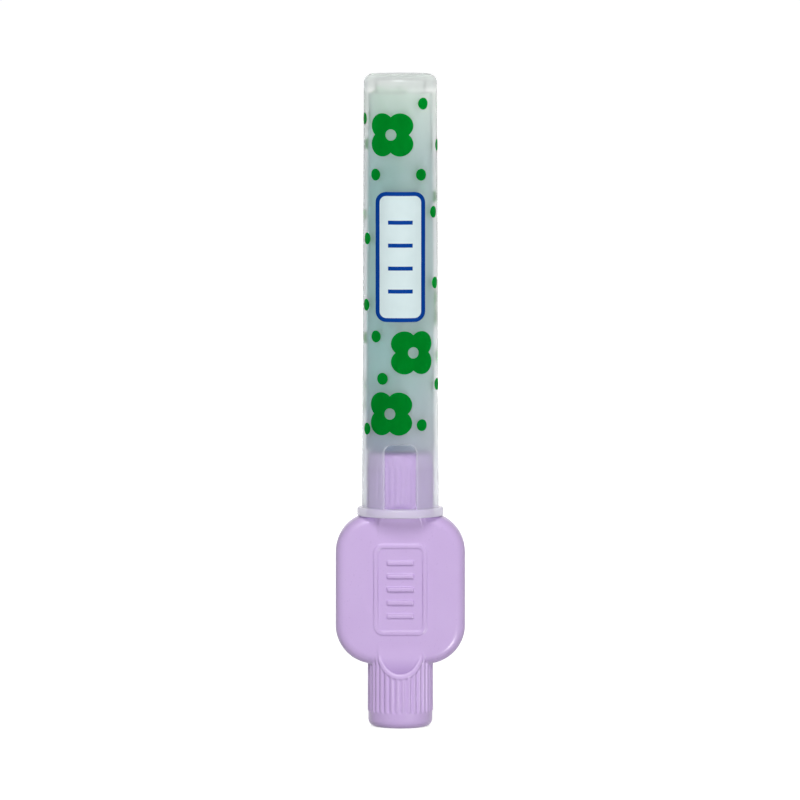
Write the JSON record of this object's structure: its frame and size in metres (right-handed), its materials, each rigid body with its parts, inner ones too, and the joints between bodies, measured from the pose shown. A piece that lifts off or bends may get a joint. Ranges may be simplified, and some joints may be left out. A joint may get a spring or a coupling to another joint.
{
  "type": "interdental brush",
  "caption": "Interdental brush: a twisted-wire bristle brush set in a flat grip handle, under a long translucent push-on cap.",
  "frame": {"origin": "middle of the handle's flat free end, on the tool's long axis", "axes": "+Z along the tool from the handle's free end to the cap's closed end, the thumb plate's front faces -Y, +X to the right"},
  "size_m": [0.0136, 0.0092, 0.0686],
  "materials": {
    "handle": "satin moulded polypropylene",
    "core_wire": "coated stainless wire",
    "bristles": "nylon filament",
    "cap": "translucent polypropylene",
    "label_panel": "printed ink",
    "label_lines": "printed ink",
    "flower_print": "printed ink"
  },
  "bodies": {
    "handle": {"handle": "handle", "core_wire": "core_wire", "bristles": "bristles"},
    "cap": {"cap": "cap", "label_panel": "label_panel", "label_lines": "label_lines", "flower_print": "flower_print"}
  },
  "joints": [
    {"name": "cap_pull", "type": "slide", "parent": "handle", "child": "cap", "axis": [0, 0, 1], "range_m": [0, 0.042]}
  ]
}
